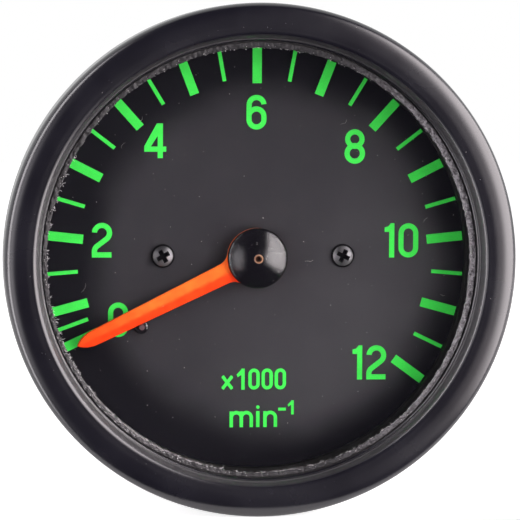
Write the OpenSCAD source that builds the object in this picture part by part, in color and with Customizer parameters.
// Motorcycle tachometer driven by a flexible shaft, with an 80 mm case and an 85 mm front ring.
// Every module draws in the dial's own axes: x to the reader's right, y up the dial and z towards
// the reader, with z = 0 at the front ring's rear face, which rests on the panel. facing() then
// turns the piece so that the dial looks along -Y and its top is +Z. Millimetres and degrees.

/* [Case] */
// Outer diameter of the case's wall
case_d = 79.8; // [74:0.1:90]
// Sheet thickness of the case
case_sheet = 0.8; // [0.6:0.1:1.2]
// Depth of the case behind the panel
case_depth = 42; // [40:1:60]
// Outer radius between the case's wall and its rear
case_corner = 3; // [1.5:0.5:5]
// How far the front flange stands out from the case's wall
flange_w = 1.5; // [1.2:0.1:2]

/* [Front ring] */
// Sheet thickness of the front ring
bezel_sheet = 0.9; // [0.7:0.1:1.2]
// Gap between the case's flange and the front ring around it
bezel_gap = 0.2; // [0.1:0.05:0.5]
// Height of the front ring in front of the panel
bezel_h = 9.3; // [8:0.1:14]
// Width of the front ring's flat band, seen from the front
band_w = 4.9; // [4:0.1:7]
// Width of the sloping inner wall, seen from the front
throat_w = 1.2; // [0.6:0.1:2]
// Outer radius of the front ring's shoulder
shoulder_r = 2.2; // [1.4:0.1:3]
// Radius of the edge between the band and the inner wall
lip_r = 0.5; // [0.2:0.1:0.8]
// How much lower the band is at its inner edge than at its crown
band_fall = 0.25; // [0:0.05:0.5]
// Radius of the rolled inner edge that presses on the gasket
bead_r = 0.35; // [0.2:0.05:0.5]
// Width of the edge that is rolled in behind the flange
crimp_w = 1.9; // [1.6:0.1:2.2]

/* [Glass and gasket] */
// Thickness of the glass
glass_t = 2; // [1.5:0.1:3]
// Chamfer on the glass's edges
glass_chamfer = 0.3; // [0.1:0.1:0.5]
// Rubber between the glass's edge and the gasket's outside
gasket_wall = 1.8; // [1.2:0.1:2.4]
// Thickness of each of the gasket's lips
gasket_lip = 1; // [0.6:0.1:1.5]
// Width of the front lip that shows inside the front ring
front_lip_show = 0.7; // [0.3:0.1:1.5]
// Width of the rear lip that shows inside the front lip
rear_lip_show = 0.7; // [0.3:0.1:1.5]

/* [Dial] */
// Gap between the pointer's cap and the glass
cap_gap = 0.8; // [0.3:0.1:2]
// Thickness of the dial
dial_t = 0.8; // [0.5:0.1:1.5]
// Clearance around the dial's rim
dial_gap = 0.1; // [0.05:0.05:0.3]
// Diameter of the dial's centre hole
dial_hole_d = 6; // [4:0.5:8]
// Thickness of the printing
print_t = 0.08; // [0.05:0.01:0.2]
// Wall of the clear ring that stands around the dial
light_ring_wall = 1.7; // [1:0.1:2.5]
// Width of the ledge that presses on the dial's rim
ledge_w = 1.7; // [1:0.1:1.7]
// Thickness of that ledge
ledge_t = 1.8; // [1:0.1:2.5]
// How far the clear ring reaches behind the dial
light_ring_back = 8; // [4:0.5:12]
// Gap between the clear ring and the case
light_ring_gap = 0.2; // [0.1:0.05:0.5]

/* [Scale] */
// Clock angle of the mark at 0
zero_angle = -115.2; // [-120:0.1:-112]
// Clock angle of the mark at 1
first_angle = -105; // [-110:0.1:-100]
// Clock angle of the last mark
last_angle = 126.2; // [120:0.1:130]
// The last mark's value, in thousands of turns a minute
last_value = 12; // [8:1:14]
// Distance from the marks' outer ends to the dial's rim
mark_margin = 1.8; // [1:0.1:3]
// Length of a long mark
long_mark = 6.1; // [4:0.1:8]
// Width of a long mark
long_mark_w = 1.56; // [1:0.02:2]
// Length of a short mark
short_mark = 5.3; // [3:0.1:6]
// Width of a short mark
short_mark_w = 0.64; // [0.4:0.02:1]
// Height of the figures
figure_h = 5.8; // [4:0.1:7]
// Width of a round figure
figure_w = 3.38; // [3:0.02:4]
// Stroke of the figures
figure_stroke = 0.87; // [0.5:0.01:1]
// Gap between the two figures of a number
figure_space = 0.72; // [0.4:0.02:1.5]
// Distance from the unit's foot line up to the middle of the multiplier
multiplier_rise = 8.15; // [7:0.05:9]
// Height of the multiplier's figures
multiplier_h = 3.55; // [3:0.05:4]
// Stroke of the multiplier
multiplier_stroke = 0.56; // [0.4:0.02:0.7]
// Distance from the unit's foot line to the dial's rim
unit_margin = 8.35; // [7:0.05:10]
// Height of the unit's small letters
unit_h = 2.76; // [2.4:0.02:3.2]
// Stroke of the unit's letters
unit_stroke = 0.58; // [0.4:0.02:0.7]

/* [Dial screws and stop] */
// Distance between the two dial screws
screw_span = 30.4; // [29:0.1:34]
// How far the pair of screws sits to the right of the axis
screw_shift_x = -0.5; // [-1:0.1:1]
// How far the pair of screws sits above the axis
screw_shift_y = 0.25; // [-1:0.05:1]
// Thread diameter of the dial screws
screw_d = 2; // [1.6:0.2:2.5]
// Head diameter of the dial screws
screw_head_d = 4; // [3:0.1:4.5]
// Head height of the dial screws
screw_head_h = 1.2; // [0.8:0.1:1.3]
// Thread length of the dial screws
screw_len = 5; // [3:0.5:6]
// Distance from the long marks' inner ends in to the stop peg
stop_inset = 6.7; // [5:0.1:9]
// Diameter of the stop peg
stop_d = 0.85; // [0.6:0.05:1.2]
// Diameter of the collar at the peg's foot
stop_collar_d = 2.5; // [1.8:0.1:3.5]
// Height of that collar
stop_collar_h = 0.9; // [0.4:0.1:1.2]
// Gap between the resting pointer and the stop peg
stop_gap = 0.1; // [0.05:0.05:0.3]

/* [Pointer] */
// Clock angle at which the pointer rests on its stop
rest_angle = -116; // [-118:0.1:-114]
// Distance from the pointer's tip to the marks' outer ends
tip_margin = 1.85; // [1:0.05:4]
// Gap between the dial and the pointer's underside
pointer_gap = 1.5; // [1.35:0.05:2]
// Pointer width at its hub
pointer_root_w = 3.5; // [2.5:0.1:4.5]
// Pointer width where its point begins
pointer_end_w = 2.6; // [1.5:0.1:3.4]
// Length of the rounded point
point_len = 3.4; // [2:0.1:6]
// Pointer thickness at its edges
pointer_edge_t = 0.45; // [0.3:0.05:0.8]
// Rise of the ridge along the pointer's middle
pointer_ridge = 0.45; // [0.1:0.05:0.6]
// Radius of the hollow curves between blade and hub
pointer_fillet = 2.4; // [1:0.1:4]
// Diameter of the pointer's hub disc
hub_d = 10.1; // [8:0.1:12]
// Thickness of the hub disc
hub_t = 0.8; // [0.5:0.1:1]
// Diameter of the cap over the hub
cap_d = 9.9; // [7:0.1:12]
// Height of the cap's straight side
cap_skirt = 0.7; // [0.3:0.1:1]
// Height of the cap's dome above that side
cap_dome = 1.7; // [1:0.1:2]
// Diameter of the bush that shows in the cap's middle
bush_nose_d = 1.5; // [1.3:0.1:2]

/* [Pointer movement] */
// Diameter of the pointer's spindle
spindle_d = 1; // [0.8:0.1:1.2]
// Diameter of the spindle's front end, in the pointer's bush
spindle_tip_d = 0.8; // [0.6:0.05:0.8]
// Radial running clearance of the spindle in its bearings
spindle_gap = 0.03; // [0.01:0.01:0.08]
// Height of the posts between bridge and dial
post_h = 7; // [6:0.5:10]
// Diameter of those posts
post_d = 5; // [4:0.2:6]
// Diameter of the posts' rear threads
post_thread_d = 2.5; // [2:0.1:3]
// Length of the posts' rear threads
post_thread = 6; // [4:0.5:8]
// Thickness of the bridge
bridge_t = 1.5; // [1:0.1:2]
// Width of the bridge
bridge_w = 8; // [6:0.5:9]
// Outer diameter of the bridge's bush
bridge_bush_d = 4.4; // [3:0.1:6]
// How far the bridge's bush stands in front of the bridge
bush_rise = 1.4; // [1.2:0.1:2]
// Thickness of the regulator arm
regulator_t = 0.6; // [0.4:0.1:1]
// Width of the regulator arm
regulator_w = 1.6; // [1:0.1:2.5]
// Length of the regulator's tail from the axis
regulator_tail = 10; // [8:0.5:11]
// Height of the hairspring's strip
spring_h = 0.7; // [0.4:0.1:1]
// Thickness of the hairspring's strip
spring_t = 0.15; // [0.1:0.01:0.2]
// Distance between the hairspring's turns
spring_pitch = 0.8; // [0.7:0.05:0.9]
// Number of the hairspring's turns
spring_turns = 6; // [4:1:6]
// Diameter of the hairspring's collet
collet_d = 3; // [2:0.1:3.6]
// Clock angle of the hairspring's outer end
spring_end_angle = 150; // [140:1:170]
// Wall of the drag cup
cup_wall = 0.4; // [0.3:0.1:0.6]
// Air gap on each side of the drag cup's wall
air_gap = 0.6; // [0.4:0.1:0.8]
// Diameter of the drag cup's hub
cup_hub_d = 3.6; // [3:0.1:5]

/* [Drive] */
// Diameter of the magnet
magnet_d = 17.2; // [14:0.1:18.6]
// Thickness of the magnet
magnet_h = 6; // [4:0.5:8]
// Thickness of the compensating ring on the magnet
compensator_t = 0.8; // [0.4:0.1:1]
// Sheet thickness of the field cup
field_sheet = 0.8; // [0.6:0.1:1]
// Diameter of the drive spindle
drive_d = 5; // [4.6:0.1:6]
// Diameter of the spindle's nose, which carries the magnet
nose_d = 4; // [3:0.1:4.5]
// Diameter of the spindle's collar behind the field cup
drive_collar_d = 10; // [8:0.5:14]
// Thickness of that collar
drive_collar_t = 1.5; // [1:0.1:2.5]
// Radial running clearance of the drive spindle in its bushes
drive_gap = 0.03; // [0.01:0.01:0.08]
// End play of the drive spindle
end_play = 0.1; // [0.05:0.05:0.3]
// Thickness of the thrust washer
thrust_t = 0.5; // [0.3:0.1:1]
// Wall of the drive spindle's bushes
bush_wall = 1; // [0.6:0.1:1.5]
// Length of each bush
bush_len = 6; // [4:0.5:7]
// Across the flats of the square drive socket
socket_af = 2.7; // [2.6:0.05:3]
// Depth of the square drive socket
socket_depth = 10; // [8:0.5:12]
// Outer diameter of the threaded neck
neck_d = 12; // [11:0.5:18]
// Length of the neck behind the case
neck_len = 11; // [9:0.5:16]
// Diameter of the seat in the neck's mouth
mouth_d = 8.2; // [7.8:0.1:9]
// Depth of that seat
mouth_depth = 3; // [2:0.5:4]

/* [Movement frame] */
// Thickness of the frame's base
base_t = 4; // [3:0.5:6]
// Width of the frame's base
base_w = 20; // [17:0.5:22]
// How far the frame's base reaches beyond the mounting studs
base_margin = 5.5; // [5:0.5:7]
// Width of the frame's pillars
pillar_w = 8; // [6:0.5:10]
// Gap between the field cup and the pillars
pillar_gap = 0.8; // [0.5:0.1:1]
// Metal outside the dial screws' axes in the pillars
pillar_back = 2.8; // [2:0.1:4]
// Thickness of the rubber sheet under the base
base_gasket_t = 1; // [0.5:0.1:2]

/* [Mounting studs] */
// Distance between the mounting studs
stud_span = 40; // [38:1:44]
// Thread diameter of the mounting studs
stud_d = 5; // [4:1:6]
// Free length of the mounting studs
stud_len = 14; // [10:1:20]
// Thread diameter of the studs' front ends
stud_root_d = 4; // [3:0.5:4]
// How far the studs' front ends reach into the frame
stud_root = 8; // [5:0.5:10]
// Across the flats of the studs' hexagon collars
collar_af = 8; // [7:0.5:10]
// Thickness of the hexagon collars
collar_t = 4; // [3:0.5:5]
// Thickness of the sealing washers under the collars
seal_t = 0.8; // [0.5:0.1:1.5]

/* [Lamps] */
// Distance of the two lamps from the axis
lamp_offset = 26; // [23:0.5:27]
// Diameter of the lamp holders' bodies
holder_d = 12; // [11:0.5:13]
// Diameter of the lamp holders' rear caps
holder_cap_d = 15.5; // [14:0.5:17]
// Thickness of those caps
holder_cap_t = 2.5; // [2:0.5:4]
// How far the holders' bodies reach into the case
holder_len = 8; // [6:0.5:10]
// Diameter of the bulbs
bulb_d = 9.6; // [8:0.1:10]
// Length of the bulbs in front of their holders
bulb_len = 15; // [12:0.5:16]
// Width of the blade terminals
blade_w = 6.3; // [4.8:0.1:6.3]
// Thickness of the blade terminals
blade_t = 0.8; // [0.5:0.1:1]
// Length of the blade terminals behind the holders
blade_len = 8; // [6:0.5:10]

/* [Hidden] */
$fn = 96;

// Small clearance of round seats that don't move
seat_gap = 0.02;
// Overlap of cutting bodies past the faces that they open
cut = 0.5;

// Radii of the case and of what its flange carries
case_r = case_d / 2;
case_in_r = case_r - case_sheet;
flange_r = case_r + flange_w;
bezel_in_r = flange_r + bezel_gap;
bezel_r = bezel_in_r + bezel_sheet;
glass_r = flange_r - gasket_wall;
window_r = bezel_r - band_w - throat_w;
front_lip_r = window_r - front_lip_show;
rear_lip_r = front_lip_r - rear_lip_show;

// Levels from the panel forward
flange_z = bezel_sheet;
gasket_z = flange_z + case_sheet;
glass_z = gasket_z + gasket_lip;
glass_front_z = glass_z + glass_t;
gasket_front_z = glass_front_z + gasket_lip;

// The dial, its clear ring and its marks
dial_z = glass_z - cap_gap - cap_dome - cap_skirt - hub_t - pointer_gap;
dial_back_z = dial_z - dial_t;
light_ring_r = case_in_r - light_ring_gap;
light_ring_in_r = light_ring_r - light_ring_wall;
dial_r = light_ring_in_r - dial_gap;
mark_r = dial_r - mark_margin;
stop_radius = mark_r - long_mark - stop_inset;
print_z = dial_z + print_t;
step_angle = (last_angle - first_angle) / (last_value - 1);
unit_drop = dial_r - unit_margin;
// A hundredth of the figures' height, in which their finer shapes are drawn
figure_unit = figure_h / 100;
figure_1_w = 28.6 * figure_unit;

// The pointer
pointer_z = dial_z + pointer_gap;
hub_front_z = pointer_z + hub_t;
cap_top_z = hub_front_z + cap_skirt + cap_dome;
hub_r = hub_d / 2;
cap_r = cap_d / 2;
tip_r = mark_r - tip_margin;
point_start = tip_r - point_len;
// The blade's half width where it lies beside the stop peg
half_w_at_stop = (pointer_root_w + (pointer_end_w - pointer_root_w)
    * (stop_radius - hub_r) / (point_start - hub_r)) / 2;
stop_angle = rest_angle - asin((half_w_at_stop + stop_d / 2 + stop_gap) / stop_radius);

// The bridge and what turns in it
bridge_z = dial_back_z - post_h;
bridge_back_z = bridge_z - bridge_t;
bush_front_z = bridge_z + bush_rise;
collet_z = bush_front_z + 0.3;
spring_z = collet_z + 0.3;
collet_h = spring_h + 0.6;
spring_in_r = collet_d / 2 + spring_t / 2;
spring_out_r = spring_in_r + spring_pitch * spring_turns;
// Width of the square post on the regulator arm
post_size = 1.4;
// Width of the bridge's land around its bush
bush_land = 2.5;

// The magnet system, from the bridge back
cup_hub_z = bridge_back_z - 1.2;
cup_hub_h = 1.6;
cup_z = cup_hub_z - cup_hub_h;
magnet_r = magnet_d / 2;
cup_in_r = magnet_r + air_gap;
cup_r = cup_in_r + cup_wall;
field_in_r = cup_r + air_gap;
field_r = field_in_r + field_sheet;
compensator_z = cup_z - cup_wall - air_gap;
magnet_z = compensator_z - compensator_t;
magnet_back_z = magnet_z - magnet_h;
cup_rim_z = magnet_back_z + air_gap;
field_back_z = magnet_back_z - field_sheet;
drive_collar_z = field_back_z - drive_collar_t;
boss_z = drive_collar_z - end_play - thrust_t;
pivot_depth = 3;

// The rear of the case, the frame's base and the drive's neck
rear_z = -case_depth;
rear_in_z = rear_z + case_sheet;
base_z = rear_in_z + base_gasket_t;
base_front_z = base_z + base_t;
neck_r = neck_d / 2;
neck_end_z = rear_z - neck_len;
neck_bore_r = drive_d / 2 + bush_wall;
neck_shank_r = neck_r + 0.5;
neck_flange_r = neck_shank_r + 1.5;
neck_flange_t = 2;
boss_r = neck_bore_r + 2.5;
bush_end_z = neck_end_z + mouth_depth + 0.5;
drive_end_z = neck_end_z + mouth_depth + 0.2;
ring_t = 0.6;
ring_z = boss_z - bush_len - 0.1 - ring_t;
ring_depth = 0.4;

// The lamps: how deep the bulbs and the blade terminals stand in their holders
bulb_seat = 5;
blade_slot = 3;
bulb_seat_z = rear_in_z + holder_len - bulb_seat;
holder_end_z = rear_z - holder_cap_t;
blade_end_z = holder_end_z - blade_len;

// The studs, from the case back
collar_z = rear_z - seal_t;
stud_seat_z = collar_z - collar_t;
base_r = stud_span / 2 + base_margin;

// Where the left (-1) and the right (1) dial screw stand
function screw_at(side) = [screw_shift_x + side * screw_span / 2, screw_shift_y];
// A point at a clock angle: 0 is up the dial and positive is clockwise
function clock(r, a) = [r * sin(a), r * cos(a)];
// Points along an arc about a centre, with plain angles from the x axis
function arc(centre, r, from, to, steps) =
    [for (i = [0:steps]) centre + r * [cos(from + (to - from) * i / steps), sin(from + (to - from) * i / steps)]];
// The clock angle of a value on the scale, in thousands of turns a minute
function scale_angle(value) = value < 1
    ? zero_angle + value * (first_angle - zero_angle)
    : first_angle + (value - 1) * step_angle;

// Turns the dial's axes into the part's frame
module facing() {
    rotate([90, 0, 0]) children();
}

// A ring between two radii and two levels
module ring(r_out, r_in, z0, z1) {
    translate([0, 0, z0]) difference() {
        cylinder(h = z1 - z0, r = r_out);
        translate([0, 0, -cut]) cylinder(h = z1 - z0 + 2 * cut, r = r_in);
    }
}

// A round bar between two levels
module bar_z(r, z0, z1) {
    translate([0, 0, z0]) cylinder(h = z1 - z0, r = r);
}

// Puts its children at the left and at the right dial screw
module at_screws() {
    for (side = [-1, 1]) translate(screw_at(side)) children();
}

// Puts its children at the two mounting studs
module at_studs() {
    for (side = [-1, 1]) translate([side * stud_span / 2, 0]) children();
}

// Puts its children at the two lamps
module at_lamps() {
    for (side = [-1, 1]) translate([0, side * lamp_offset]) children();
}

// The case: a deep drawn cup with a flange, and openings for neck, studs and lamps
module case() {
    inner_corner = max(case_corner - case_sheet, 0.2);
    // the flange grows out of the wall with a small bend
    bend = min(flange_w, 0.9) / 2;
    profile = concat(
        [[0, rear_z]],
        arc([case_r - case_corner, rear_z + case_corner], case_corner, -90, 0, 8),
        [[case_r, -bend / 2], [case_r + bend, flange_z], [flange_r, flange_z]],
        [[flange_r, gasket_z], [case_in_r, gasket_z]],
        arc([case_in_r - inner_corner, rear_in_z + inner_corner], inner_corner, 0, -90, 8),
        [[0, rear_in_z]]
    );
    color("#1d1d1f") facing() difference() {
        rotate_extrude() polygon(profile);
        translate([0, 0, rear_z - cut]) cylinder(h = case_sheet + 2 * cut, r = neck_shank_r + 0.2);
        at_studs() translate([0, 0, rear_z - cut]) cylinder(h = case_sheet + 2 * cut, r = stud_root_d / 2 + 0.2);
        at_lamps() translate([0, 0, rear_z - cut]) cylinder(h = case_sheet + 2 * cut, r = holder_d / 2 + seat_gap);
    }
}

// The front ring: one rolled profile whose rear edge grips the case's flange
module bezel() {
    band_r = bezel_r - band_w;
    inner_shoulder = max(shoulder_r - bezel_sheet, 0.2);
    crown_z = bezel_h;
    lip_z = crown_z - band_fall;
    // where the slope of the inner wall runs into the bead
    bead_start = 130;
    profile = concat(
        [[bezel_r - crimp_w, 0]],
        arc([bezel_r - 0.6, 0.6], 0.6, -90, 0, 4),
        arc([bezel_r - shoulder_r, crown_z - shoulder_r], shoulder_r, 0, 90, 12),
        arc([band_r + lip_r, lip_z - lip_r], lip_r, 90, 180, 6),
        arc([window_r + bead_r, gasket_front_z + bead_r], bead_r, bead_start, 270, 7),
        [[window_r + bead_r + 0.6 * bezel_sheet, gasket_front_z]],
        [[band_r + bezel_sheet, lip_z - lip_r - 0.2], [band_r + bezel_sheet + 0.4, lip_z - bezel_sheet]],
        arc([bezel_in_r - inner_shoulder, crown_z - bezel_sheet - inner_shoulder], inner_shoulder, 90, 0, 8),
        [[bezel_in_r, bezel_sheet], [bezel_r - crimp_w, bezel_sheet]]
    );
    color("#222125") facing() rotate_extrude($fn = 160) polygon(profile);
}

// The glass: a flat disc with chamfered edges
module glass() {
    c = glass_chamfer;
    profile = [
        [0, glass_z], [glass_r - c, glass_z], [glass_r, glass_z + c],
        [glass_r, glass_front_z - c], [glass_r - c, glass_front_z], [0, glass_front_z],
    ];
    color([0.85, 0.9, 0.9, 0.25]) facing() rotate_extrude() polygon(profile);
}

// The gasket: a rubber U around the glass's edge, whose lips show inside the front ring
module glass_gasket() {
    c = glass_chamfer;
    half = gasket_lip / 2;
    profile = concat(
        [[flange_r, gasket_z], [flange_r, gasket_front_z]],
        arc([front_lip_r + half, gasket_front_z - half], half, 90, 180, 5),
        [[front_lip_r, glass_front_z], [glass_r - c, glass_front_z], [glass_r, glass_front_z - c]],
        [[glass_r, glass_z + c], [glass_r - c, glass_z], [rear_lip_r, glass_z]],
        arc([rear_lip_r + half, gasket_z + half], half, 180, 270, 5)
    );
    color("#2b2a2c") facing() rotate_extrude() polygon(profile);
}

// The clear ring: leads the lamps' light past the dial's rim, and presses on that rim with a ledge
module light_ring() {
    ledge_r = light_ring_in_r - ledge_w;
    profile = [
        [light_ring_in_r, gasket_z], [light_ring_in_r, dial_z + ledge_t], [ledge_r, dial_z + ledge_t],
        [ledge_r, dial_z], [light_ring_in_r, dial_z],
        [light_ring_in_r, dial_back_z - light_ring_back], [light_ring_r, dial_back_z - light_ring_back],
        [light_ring_r, gasket_z],
    ];
    color([0.9, 0.92, 0.9, 0.5]) facing() rotate_extrude() polygon(profile);
}

// The dial: a flat plate with holes for the spindle, the screws and the stop peg
module dial() {
    color("#37373a") facing() translate([0, 0, dial_back_z]) difference() {
        cylinder(h = dial_t, r = dial_r);
        translate([0, 0, -cut]) cylinder(h = dial_t + 2 * cut, r = dial_hole_d / 2);
        at_screws() translate([0, 0, -cut]) cylinder(h = dial_t + 2 * cut, r = screw_d / 2 + 0.15);
        translate(clock(stop_radius, stop_angle)) translate([0, 0, -cut])
            cylinder(h = dial_t + 2 * cut, r = stop_d / 2 + seat_gap);
    }
}

// Lays flat printing on the dial, clear of what stands on it
module printed() {
    clear = 0.1;
    color("#4ac853") facing() translate([0, 0, dial_z]) linear_extrude(height = print_t) difference() {
        children();
        translate(clock(stop_radius, stop_angle)) circle(r = stop_collar_d / 2 + clear);
        at_screws() circle(r = screw_head_d / 2 + clear);
    }
}

// One mark of the scale, as a bar that ends at the marks' outer circle
module mark(value, length, width) {
    rotate(-scale_angle(value)) translate([-width / 2, mark_r - length]) square([width, length]);
}

// The scale: long marks at the thousands, short marks halfway
module dial_marks() {
    printed() {
        for (value = [0:last_value]) mark(value, long_mark, long_mark_w);
        for (value = [0:last_value - 1]) mark(value + 0.5, short_mark, short_mark_w);
    }
}

// A straight stroke between two points
module stroke_line(from, to, stroke) {
    along = (to - from) / norm(to - from);
    side = stroke / 2 * [-along[1], along[0]];
    polygon([from + side, to + side, to - side, from - side]);
}

// A round stroke along a circle's arc, with plain angles from the x axis
module stroke_arc(centre, r, from, to, stroke) {
    steps = ceil(abs(to - from) / 30);
    intersection() {
        translate(centre) difference() {
            circle(r = r + stroke / 2, $fn = 64);
            circle(r = r - stroke / 2, $fn = 64);
        }
        polygon(concat([centre], arc(centre, 2 * r + stroke, from, to, steps)));
    }
}

// A bar with half round ends, standing upright about the origin
module upright_oval(w, h) {
    square([w, h - w], center = true);
    for (side = [-1, 1]) translate([0, side * (h - w) / 2]) circle(r = w / 2, $fn = 64);
}

// A closed oval stroke
module oval_figure(w, h, stroke) {
    difference() {
        upright_oval(w, h);
        upright_oval(w - 2 * stroke, h - 2 * stroke);
    }
}

// The figure 0
module figure_0() {
    oval_figure(figure_w, figure_h, figure_stroke);
}

// The figure 1: a stem with a flag, its right edge at figure_1_w / 2
module figure_1() {
    u = figure_unit;
    right = figure_1_w / 2;
    top = figure_h / 2;
    stem = right - figure_stroke;
    polygon([
        [right, -top], [right, top], [stem + 4 * u, top], [stem, top - 6 * u], [stem - 4 * u, top - 9.5 * u],
        [-right, top - 12 * u], [-right, top - 25 * u], [stem, top - 25 * u], [stem, -top],
    ]);
}

// The figure 2: a bowl, a slanting stroke, a turn at its foot and a base bar
module figure_2() {
    s = figure_stroke;
    bowl = (figure_w - s) / 2;
    foot_turn = bowl * 0.84;
    bowl_start = 176;
    slant = 38;
    top = figure_h / 2;
    foot = 18 * figure_unit;
    centre = [0, top - figure_w / 2];
    bowl_end = centre + bowl * [sin(slant), -cos(slant)];
    turn_centre = [-bowl + foot_turn, -top + foot];
    turn_start = turn_centre + foot_turn * [-sin(slant), cos(slant)];
    stroke_arc(centre, bowl, bowl_start, slant - 90, s);
    stroke_line(bowl_end, turn_start, s);
    stroke_arc(turn_centre, foot_turn, 90 + slant, 180, s);
    translate([-figure_w / 2, -top]) square([s, foot + 0.1 * figure_unit]);
    translate([-figure_w / 2, -top]) square([0.97 * figure_w, s]);
}

// The figure 4: a slanting stroke, a crossbar and a stem
module figure_4() {
    u = figure_unit;
    s = figure_stroke;
    top = figure_h / 2;
    half = 0.545 * figure_w;
    stem = half - 9.7 * u;
    bar = -top + 18.4 * u;
    difference() {
        polygon([
            [4.3 * u, top], [stem, top], [stem, bar + s], [half, bar + s], [half, bar], [stem, bar], [stem, -top],
            [stem - s, -top], [stem - s, bar], [-half, bar], [-half, bar + s + 0.7 * u],
        ]);
        polygon([[-half + 19 * u, bar + s], [stem - s, bar + s], [stem - s, top - 36 * u]]);
    }
}

// The figure 6: a closed bowl below a hooked stem
module figure_6() {
    s = figure_stroke;
    r = (figure_w - s) / 2;
    top = figure_h / 2;
    bowl_h = 67 * figure_unit;
    translate([0, -top + bowl_h / 2]) oval_figure(figure_w, bowl_h, s);
    stroke_arc([0, top - figure_w / 2], r, 6, 180, s);
    translate([-figure_w / 2, -top + figure_w / 2]) square([s, figure_h - figure_w]);
}

// The figure 8: a small ring on a larger one
module figure_8() {
    s = figure_stroke;
    small = (figure_w - s) / 2 - 0.7 * figure_unit;
    large = (figure_w - s) / 2 + 0.9 * figure_unit;
    top = figure_h / 2;
    stroke_arc([0, top - small - s / 2], small, 0, 360, s);
    stroke_arc([0, -top + large + s / 2], large, 0, 360, s);
}

// One figure by its value
module figure(digit) {
    if (digit == 0) figure_0();
    if (digit == 1) figure_1();
    if (digit == 2) figure_2();
    if (digit == 4) figure_4();
    if (digit == 6) figure_6();
    if (digit == 8) figure_8();
}

// A number centred about the origin; two figures stand side by side
module number(value) {
    if (value < 10) {
        figure(value);
    } else {
        width = figure_1_w + figure_space + figure_w;
        translate([-width / 2 + figure_1_w / 2, 0]) figure(1);
        translate([width / 2 - figure_w / 2, 0]) figure(value - 10);
    }
}

// The numbers' places: value, distance in from the long marks' inner ends in units of the figures'
// height, and clock angle beyond the value's own mark
NUMBERS = [
    [0, 0.655, 0.9], [2, 0.545, 0.4], [4, 0.569, 0.9], [6, 0.837, -0.15], [8, 0.725, -0.33], [10, 0.741, -0.6],
    [12, 0.478, 6.45],
];

// The numbers of the scale
module dial_figures() {
    printed() for (entry = NUMBERS) if (entry[0] <= last_value)
        translate(clock(mark_r - long_mark - entry[1] * figure_h, scale_angle(entry[0]) + entry[2]))
            number(entry[0]);
}

// The multiplier: a small cross, a one and three noughts
module dial_multiplier() {
    h = multiplier_h;
    s = multiplier_stroke;
    u = multiplier_h / 100;
    nought_w = 54 * u;
    pitch = nought_w + 9 * u;
    cross_w = 53.5 * u;
    cross_h = 69 * u;
    reach = 0.44 * [cross_w, cross_h];
    one_x = -66 * u;
    printed() translate([0, multiplier_rise - unit_drop]) {
        translate([-133 * u, -h / 2 + cross_h / 2]) intersection() {
            square([cross_w, cross_h], center = true);
            union() {
                stroke_line(-reach, reach, s);
                stroke_line([-reach[0], reach[1]], [reach[0], -reach[1]], s);
            }
        }
        translate([one_x, -h / 2]) square([s, h]);
        polygon([
            [one_x + 3 * u, h / 2], [one_x - 22 * u, h / 2 - 28 * u], [one_x - 17.5 * u, h / 2 - 40 * u],
            [one_x + 0.5 * u, h / 2 - 29 * u],
        ]);
        for (i = [0:2]) translate([i * pitch - 5.6 * u, 0]) oval_figure(nought_w, h, s);
    }
}

// One arch of an m or an n, whose left stem starts at x
module arch(x, w, h, stroke) {
    r = (w - stroke) / 2;
    translate([x, 0]) square([stroke, 0.97 * h]);
    translate([x + w - stroke, 0]) square([stroke, h - w / 2]);
    stroke_arc([x + w / 2, h - w / 2], r, 0, 180, stroke);
}

// The unit: min with a raised -1, meaning turns a minute
module dial_unit() {
    s = unit_stroke;
    h = unit_h;
    u = unit_h / 100;
    arch_w = 82.6 * u;
    m_x = -156 * u;
    i_x = 7 * u;
    n_x = 51 * u;
    minus_x = 143 * u;
    one_x = 222.5 * u;
    one_foot = 76 * u;
    one_top = one_foot + 87 * u;
    printed() translate([0, -unit_drop]) {
        arch(m_x, arch_w, h, s);
        arch(m_x + arch_w - s, arch_w, h, s);
        translate([i_x, 0]) square([s, 0.98 * h]);
        translate([i_x + s / 2, 122.5 * u]) circle(r = s / 2, $fn = 32);
        arch(n_x, 85.5 * u, h, s);
        translate([minus_x, 100.7 * u]) square([47 * u, 0.83 * s]);
        translate([one_x, one_foot]) square([0.78 * s, one_top - one_foot]);
        polygon([
            [one_x + 4.3 * u, one_top], [one_x - 21.4 * u, one_top - 27 * u], [one_x - 16.7 * u, one_top - 38 * u],
            [one_x + 0.7 * u, one_top - 27 * u],
        ]);
    }
}

// One dial screw: a pan head with a cross recess, and its thread
module dial_screw(turn) {
    head_r = screw_head_d / 2;
    edge = 0.35;
    profile = concat(
        [[0, 0], [head_r, 0]],
        arc([head_r - edge, screw_head_h - edge], edge, 0, 90, 5),
        [[0, screw_head_h]]
    );
    difference() {
        rotate_extrude($fn = 48) polygon(profile);
        for (a = [0, 90]) rotate(turn + a) translate([-head_r * 0.58, -0.24, screw_head_h - 0.75])
            cube([head_r * 1.16, 0.48, 0.75 + cut]);
    }
    translate([0, 0, -screw_len]) cylinder(h = screw_len, r = screw_d / 2 - seat_gap, $fn = 32);
}

// The two screws that hold the dial on its posts
module dial_screws() {
    color("#19191b") facing() {
        translate(screw_at(-1)) translate([0, 0, dial_z]) dial_screw(43);
        translate(screw_at(1)) translate([0, 0, dial_z]) dial_screw(20);
    }
}

// The stop peg: a wire through the dial, against which the pointer rests
module stop_peg() {
    color("#8d8a88") facing() translate(clock(stop_radius, stop_angle)) {
        bar_z(stop_d / 2, dial_back_z - 0.8, pointer_z + pointer_edge_t + 0.4);
        ring(stop_d / 2 + 0.5, 0.2, dial_back_z - 0.8, dial_back_z);
    }
}

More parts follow.
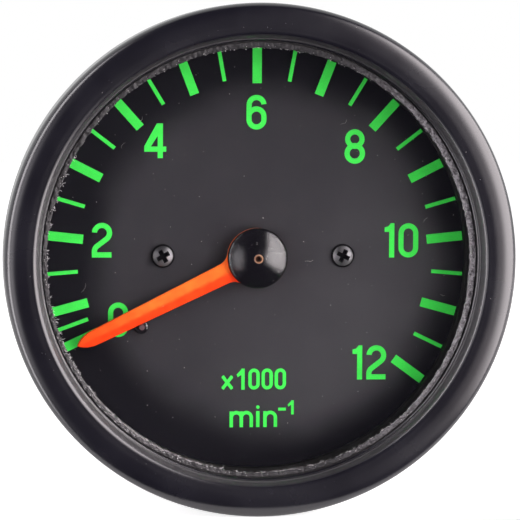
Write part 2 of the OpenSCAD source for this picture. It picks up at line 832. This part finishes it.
// The soft collar round the stop peg's foot
module stop_collar() {
    r = stop_collar_d / 2;
    edge = min(0.25, stop_collar_h / 2);
    profile = concat(
        [[stop_d / 2 + seat_gap, 0], [r, 0]],
        arc([r - edge, stop_collar_h - edge], edge, 0, 90, 4),
        [[stop_d / 2 + seat_gap, stop_collar_h]]
    );
    color("#1a1a1c") facing() translate(clock(stop_radius, stop_angle)) translate([0, 0, dial_z])
        rotate_extrude($fn = 48) polygon(profile);
}

// The blade's half outline, from the hub to the point, along +y
function point_half(i, steps) = let (t = i / steps)
    [pointer_end_w / 2 * pow(1 - pow(t, 2.1), 0.8), point_start + point_len * t];

// The pointer's outline, pointing up the dial
module pointer_outline() {
    steps = 9;
    root = pointer_root_w / 2;
    right = concat([[root, 0], [root, hub_r]], [for (i = [0:steps]) point_half(i, steps)]);
    left = [for (i = [len(right) - 2:-1:0]) [-right[i][0], right[i][1]]];
    // the hollow curve's centre touches both the hub's circle and the blade's edge
    fillet_x = root + pointer_fillet;
    fillet_y = sqrt(pow(hub_r + pointer_fillet, 2) - pow(fillet_x, 2));
    circle(r = hub_r, $fn = 96);
    polygon(concat(right, left));
    difference() {
        polygon([[0, 0], [fillet_x, fillet_y], [0, fillet_y], [-fillet_x, fillet_y]]);
        for (side = [-1, 1]) translate([side * fillet_x, fillet_y]) circle(r = pointer_fillet, $fn = 64);
    }
}

// The pointer: a tapered blade with a roof-like ridge, on a flat hub disc
module pointer() {
    edge = pointer_edge_t;
    half = pointer_root_w / 2 + 0.3;
    roof = [[-half, 0], [half, 0], [half, edge], [0, edge + pointer_ridge], [-half, edge]];
    bore = bush_nose_d / 2 + seat_gap;
    color("#ff6426") facing() rotate(-rest_angle) translate([0, 0, pointer_z]) difference() {
        union() {
            cylinder(h = hub_t, r = hub_r);
            intersection() {
                linear_extrude(height = edge) pointer_outline();
                translate([-tip_r, -tip_r, 0]) cube([2 * tip_r, 2 * tip_r + 1, edge]);
            }
            intersection() {
                linear_extrude(height = edge + pointer_ridge) pointer_outline();
                translate([0, tip_r + 1, 0]) rotate([90, 0, 0]) linear_extrude(height = tip_r + 1 - cap_r + 0.6)
                    polygon(roof);
            }
        }
        translate([0, 0, -cut]) cylinder(h = hub_t + pointer_ridge + edge + 2 * cut, r = bore, $fn = 48);
        // the round that the cap stands in
        translate([0, 0, hub_t]) cylinder(h = edge + pointer_ridge + cut, r = cap_r + 0.05);
    }
}

// The cap over the pointer's hub: a low glossy dome with a hole for the bush
module pointer_cap() {
    // the dome is a ball's top: its radius follows from the cap's width and the dome's height
    dome_r = (cap_r * cap_r + cap_dome * cap_dome) / (2 * cap_dome);
    color("#0c0c0e") facing() difference() {
        union() {
            bar_z(cap_r, hub_front_z, hub_front_z + cap_skirt);
            intersection() {
                translate([0, 0, cap_top_z - dome_r]) sphere(r = dome_r);
                translate([0, 0, hub_front_z + cap_skirt - 0.01]) cylinder(h = cap_dome + cut, r = cap_r);
            }
        }
        translate([0, 0, hub_front_z - cut]) cylinder(h = cap_skirt + cap_dome + 2 * cut,
            r = bush_nose_d / 2 + seat_gap, $fn = 48);
    }
}

// The bush that joins pointer, cap and spindle, and shows in the cap's middle
module pointer_bush() {
    foot_r = bush_nose_d / 2 + 0.6;
    foot_h = 0.7;
    color("#b58a63") facing() difference() {
        union() {
            bar_z(bush_nose_d / 2, pointer_z, cap_top_z - 0.1);
            bar_z(foot_r, pointer_z - foot_h, pointer_z);
        }
        translate([0, 0, pointer_z - foot_h - cut]) cylinder(h = cap_top_z - pointer_z + foot_h + 2 * cut,
            r = spindle_tip_d / 2 + seat_gap / 2, $fn = 32);
    }
}

// The pointer's spindle: a thin steel rod from the drive's nose to the pointer's bush
module pointer_spindle() {
    shoulder_z = pointer_z - hub_t;
    color("#a9a9ac") facing() {
        bar_z(spindle_d / 2, compensator_z - pivot_depth + 0.2, shoulder_z);
        bar_z(spindle_tip_d / 2, shoulder_z, cap_top_z - cap_dome + 0.1);
    }
}

// The drag cup: a thin aluminium bell around the magnet
module drag_cup() {
    color("#c4c6c9") facing() {
        ring(cup_r, cup_in_r, cup_rim_z, cup_z - cup_wall);
        ring(cup_r, spindle_d / 2 + 0.5 + seat_gap, cup_z - cup_wall, cup_z);
    }
}

// The hub that holds the drag cup on the spindle
module drag_cup_hub() {
    color("#b99a55") facing() {
        ring(cup_hub_d / 2, spindle_d / 2 + seat_gap / 2, cup_z, cup_hub_z);
        ring(spindle_d / 2 + 0.5, spindle_d / 2 + seat_gap / 2, cup_z - cup_wall - 0.1, cup_z);
    }
}

// The hairspring: one flat spiral from the collet out to the regulator's post
module hairspring() {
    steps = 20 * spring_turns;
    function radius_at(i) = spring_in_r + seat_gap + (spring_out_r - spring_in_r) * i / steps;
    function angle_at(i) = spring_end_angle - 360 * spring_turns * (1 - i / steps);
    outer = [for (i = [0:steps]) clock(radius_at(i) + spring_t / 2, angle_at(i))];
    inner = [for (i = [steps:-1:0]) clock(radius_at(i) - spring_t / 2, angle_at(i))];
    color("#c8a84e") facing() translate([0, 0, spring_z]) linear_extrude(height = spring_h)
        polygon(concat(outer, inner));
}

// The collet that holds the hairspring's inner end
module hairspring_collet() {
    color("#b99a55") facing() ring(collet_d / 2, spindle_d / 2 + seat_gap / 2, collet_z, collet_z + collet_h);
}

// The regulator: turns on the bridge's bush and holds the hairspring's outer end in a slotted post
module regulator_arm() {
    eye_r = bridge_bush_d / 2 + 1.1;
    arm_r = spring_out_r + post_size / 2;
    arm_z = bridge_z + 0.15;
    color("#c2a25a") facing() difference() {
        union() {
            bar_z(eye_r, arm_z, arm_z + regulator_t);
            rotate(-spring_end_angle) translate([-regulator_w / 2, 0, arm_z])
                cube([regulator_w, arm_r, regulator_t]);
            rotate(-spring_end_angle) translate([-post_size / 2, spring_out_r - post_size / 2, arm_z])
                cube([post_size, post_size, spring_z + spring_h + 0.3 - arm_z]);
            rotate(180 - spring_end_angle) translate([-regulator_w / 2, 0, arm_z])
                cube([regulator_w, regulator_tail, regulator_t]);
        }
        translate([0, 0, arm_z - cut]) cylinder(h = regulator_t + 2 * cut, r = bridge_bush_d / 2 + spindle_gap);
        // the slot for the hairspring's end
        rotate(-spring_end_angle) translate([-post_size, spring_out_r - spring_t / 2 - 0.08, spring_z - 0.08])
            cube([2 * post_size, spring_t + 0.2, spring_h + 1]);
    }
}

// The bridge: a bar across the frame's pillars with the spindle's front bearing
module bridge() {
    ends = [screw_at(-1), screw_at(1)];
    color("#b7a06a") facing() translate([0, 0, bridge_back_z]) difference() {
        union() {
            for (end = ends) translate(end) cylinder(h = bridge_t, r = bridge_w / 2);
            translate([ends[0][0], screw_shift_y - bridge_w / 2, 0]) cube([screw_span, bridge_w, bridge_t]);
            cylinder(h = bridge_t, r = bridge_bush_d / 2 + bush_land);
        }
        at_screws() translate([0, 0, -cut]) cylinder(h = bridge_t + 2 * cut, r = post_thread_d / 2 + 0.1);
        translate([0, 0, -cut]) cylinder(h = bridge_t + 2 * cut, r = bridge_bush_d / 2 + seat_gap);
    }
}

// The bush in the bridge: its front end also carries the regulator
module bridge_bush() {
    color("#a67c45") facing() ring(bridge_bush_d / 2, spindle_d / 2 + spindle_gap, bridge_back_z, bush_front_z);
}

// The two posts that clamp the bridge on the frame and carry the dial
module dial_posts() {
    color("#9b9a97") facing() at_screws() {
        difference() {
            bar_z(post_d / 2, bridge_z, dial_back_z);
            translate([0, 0, dial_back_z - screw_len]) cylinder(h = screw_len + cut, r = screw_d / 2, $fn = 32);
        }
        bar_z(post_thread_d / 2, bridge_back_z - post_thread, bridge_z);
    }
}

// The frame's base outline: a bar with round ends that keeps clear of the lamps
module base_outline() {
    intersection() {
        circle(r = base_r);
        square([2 * base_r, base_w], center = true);
    }
}

// The frame: a casting with a base, a boss for the drive and two pillars for the bridge
module movement_frame() {
    clear_r = field_r + pillar_gap;
    stud_boss_z = base_z + stud_root + 1;
    color("#8f8f8d") facing() difference() {
        union() {
            translate([0, 0, base_z]) linear_extrude(height = base_t) base_outline();
            bar_z(boss_r, base_z, boss_z);
            at_studs() bar_z(stud_root_d / 2 + 2, base_z, stud_boss_z);
            for (side = [-1, 1]) difference() {
                translate([min(0, screw_at(side)[0] + side * pillar_back), screw_shift_y - pillar_w / 2, base_z])
                    cube([abs(screw_at(side)[0]) + pillar_back, pillar_w, bridge_back_z - base_z]);
                translate([0, 0, base_front_z]) cylinder(h = bridge_back_z - base_front_z + cut, r = clear_r);
            }
        }
        // the bore for the bushes, and the step that the neck's flange stands in
        translate([0, 0, base_z - cut]) cylinder(h = boss_z - base_z + 2 * cut, r = neck_bore_r);
        translate([0, 0, base_z - cut]) cylinder(h = neck_flange_t + cut, r = neck_flange_r + seat_gap);
        at_studs() translate([0, 0, base_z - cut]) cylinder(h = stud_root + cut, r = stud_root_d / 2 + seat_gap);
        at_screws() translate([0, 0, bridge_back_z - post_thread - 0.5])
            cylinder(h = post_thread + 0.5 + cut, r = post_thread_d / 2 + seat_gap, $fn = 48);
    }
}

// The rubber sheet between the frame's base and the case
module base_gasket() {
    color("#242426") facing() translate([0, 0, rear_in_z]) difference() {
        linear_extrude(height = base_gasket_t) base_outline();
        translate([0, 0, -cut]) cylinder(h = base_gasket_t + 2 * cut, r = neck_shank_r + seat_gap);
        at_studs() translate([0, 0, -cut]) cylinder(h = base_gasket_t + 2 * cut, r = stud_root_d / 2 + seat_gap);
    }
}

// The neck: a threaded sleeve that the drive cable's nut screws on
module drive_neck() {
    chamfer = 0.8;
    color("#a3a19c") facing() difference() {
        union() {
            bar_z(neck_r, neck_end_z + chamfer, rear_z);
            bar_z(neck_shank_r, rear_z, base_z);
            translate([0, 0, neck_end_z]) cylinder(h = chamfer, r1 = neck_r - chamfer, r2 = neck_r);
            bar_z(neck_flange_r, base_z, base_z + neck_flange_t);
        }
        translate([0, 0, neck_end_z - cut])
            cylinder(h = base_z + neck_flange_t - neck_end_z + 2 * cut, r = neck_bore_r);
        translate([0, 0, neck_end_z - cut]) cylinder(h = mouth_depth + cut, r = mouth_d / 2);
    }
}

// A plain bearing bush for the drive spindle
module drive_bush(z0) {
    color("#a3713d") facing() ring(neck_bore_r - seat_gap, drive_d / 2 + drive_gap, z0, z0 + bush_len);
}

// The bush in the frame's boss
module front_bush() {
    drive_bush(boss_z - bush_len);
}

// The bush in the neck
module rear_bush() {
    drive_bush(bush_end_z);
}

// The drive spindle: a square socket behind, a collar, and the nose that carries the magnet
module drive_spindle() {
    groove_r = drive_d / 2 - ring_depth;
    color("#b4b4b8") facing() difference() {
        union() {
            bar_z(drive_d / 2, drive_end_z, drive_collar_z);
            bar_z(drive_collar_d / 2, drive_collar_z, field_back_z);
            bar_z(nose_d / 2, field_back_z, compensator_z);
        }
        translate([-socket_af / 2, -socket_af / 2, drive_end_z - cut])
            cube([socket_af, socket_af, socket_depth + cut]);
        ring(drive_d, groove_r, ring_z - 0.05, ring_z + ring_t + 0.05);
        translate([0, 0, compensator_z - pivot_depth])
            cylinder(h = pivot_depth + cut, r = spindle_d / 2 + spindle_gap, $fn = 48);
    }
}

// The retaining ring in the drive spindle's groove: open at one side
module retaining_ring() {
    color("#77777a") facing() difference() {
        ring(drive_d / 2 + 0.6, drive_d / 2 - ring_depth + seat_gap, ring_z, ring_z + ring_t);
        translate([0, -0.8, ring_z - cut]) cube([drive_d, 1.6, ring_t + 2 * cut]);
    }
}

// The thrust washer between the drive spindle's collar and the frame's boss
module thrust_washer() {
    color("#6d4a2e") facing() ring(drive_collar_d / 2, drive_d / 2 + 0.1, boss_z, boss_z + thrust_t);
}

// The field cup: a steel bell that leads the magnet's field back around the drag cup
module field_cup() {
    rim_z = cup_z - cup_wall - 0.3;
    color("#83858a") facing() {
        ring(field_r, nose_d / 2 + seat_gap, field_back_z, magnet_back_z);
        ring(field_r, field_in_r, magnet_back_z, rim_z);
    }
}

// The magnet: a flat ring on the spindle's nose
module magnet() {
    color("#4c4a4e") facing() ring(magnet_r, nose_d / 2 + seat_gap, magnet_back_z, magnet_z);
}

// The compensating ring: a nickel iron washer that evens out the magnet's change with heat
module compensator_ring() {
    color("#9a9da1") facing() ring(magnet_r, nose_d / 2 + seat_gap, magnet_z, compensator_z);
}

// The two mounting studs: a hexagon collar behind the case, a thread in the frame and a free thread
module mounting_studs() {
    chamfer = 0.6;
    color("#a9a8a3") facing() at_studs() {
        bar_z(stud_root_d / 2, collar_z, base_z + stud_root - 0.5);
        translate([0, 0, stud_seat_z]) cylinder(h = collar_t, r = collar_af / 2 / cos(30), $fn = 6);
        bar_z(stud_d / 2, stud_seat_z - stud_len + chamfer, stud_seat_z);
        translate([0, 0, stud_seat_z - stud_len])
            cylinder(h = chamfer, r1 = stud_d / 2 - chamfer, r2 = stud_d / 2);
    }
}

// The sealing washers under the studs' collars
module stud_seals() {
    color("#7a4a35") facing() at_studs()
        ring(collar_af / 2, stud_root_d / 2 + seat_gap, collar_z, rear_z);
}

// The two lamp holders: a body through the case's rear and a cap behind it
module lamp_holders() {
    color("#26262a") facing() at_lamps() difference() {
        union() {
            bar_z(holder_d / 2, rear_z, rear_in_z + holder_len);
            bar_z(holder_cap_d / 2, holder_end_z, rear_z);
        }
        translate([0, 0, bulb_seat_z]) cylinder(h = bulb_seat + cut, r = bulb_d / 2 + seat_gap);
        translate([-blade_w / 2 - 0.05, -blade_t / 2 - 0.05, holder_end_z - cut])
            cube([blade_w + 0.1, blade_t + 0.1, blade_slot + cut]);
    }
}

// The two bulbs: glass with a domed end, seated in the holders
module lamp_bulbs() {
    dome_z = bulb_seat_z + bulb_seat + bulb_len - bulb_d / 2;
    color([0.95, 0.93, 0.85, 0.5]) facing() at_lamps() {
        bar_z(bulb_d / 2, bulb_seat_z, dome_z);
        translate([0, 0, dome_z]) intersection() {
            sphere(r = bulb_d / 2);
            translate([0, 0, -0.01]) cylinder(h = bulb_d, r = bulb_d);
        }
    }
}

// The blade terminals behind the lamp holders
module lamp_terminals() {
    color("#b9a468") facing() at_lamps() difference() {
        translate([-blade_w / 2, -blade_t / 2, blade_end_z]) cube([blade_w, blade_t, blade_len + blade_slot]);
        translate([0, cut + blade_t / 2, blade_end_z + 2.6]) rotate([90, 0, 0])
            cylinder(h = blade_t + 2 * cut, r = 0.8, $fn = 32);
    }
}

case();
bezel();
glass();
glass_gasket();
light_ring();
dial();
dial_marks();
dial_figures();
dial_multiplier();
dial_unit();
dial_screws();
stop_peg();
stop_collar();
pointer();
pointer_cap();
pointer_bush();
pointer_spindle();
drag_cup();
drag_cup_hub();
hairspring();
hairspring_collet();
regulator_arm();
bridge();
bridge_bush();
dial_posts();
movement_frame();
base_gasket();
drive_neck();
front_bush();
rear_bush();
drive_spindle();
retaining_ring();
thrust_washer();
field_cup();
magnet();
compensator_ring();
mounting_studs();
stud_seals();
lamp_holders();
lamp_bulbs();
lamp_terminals();
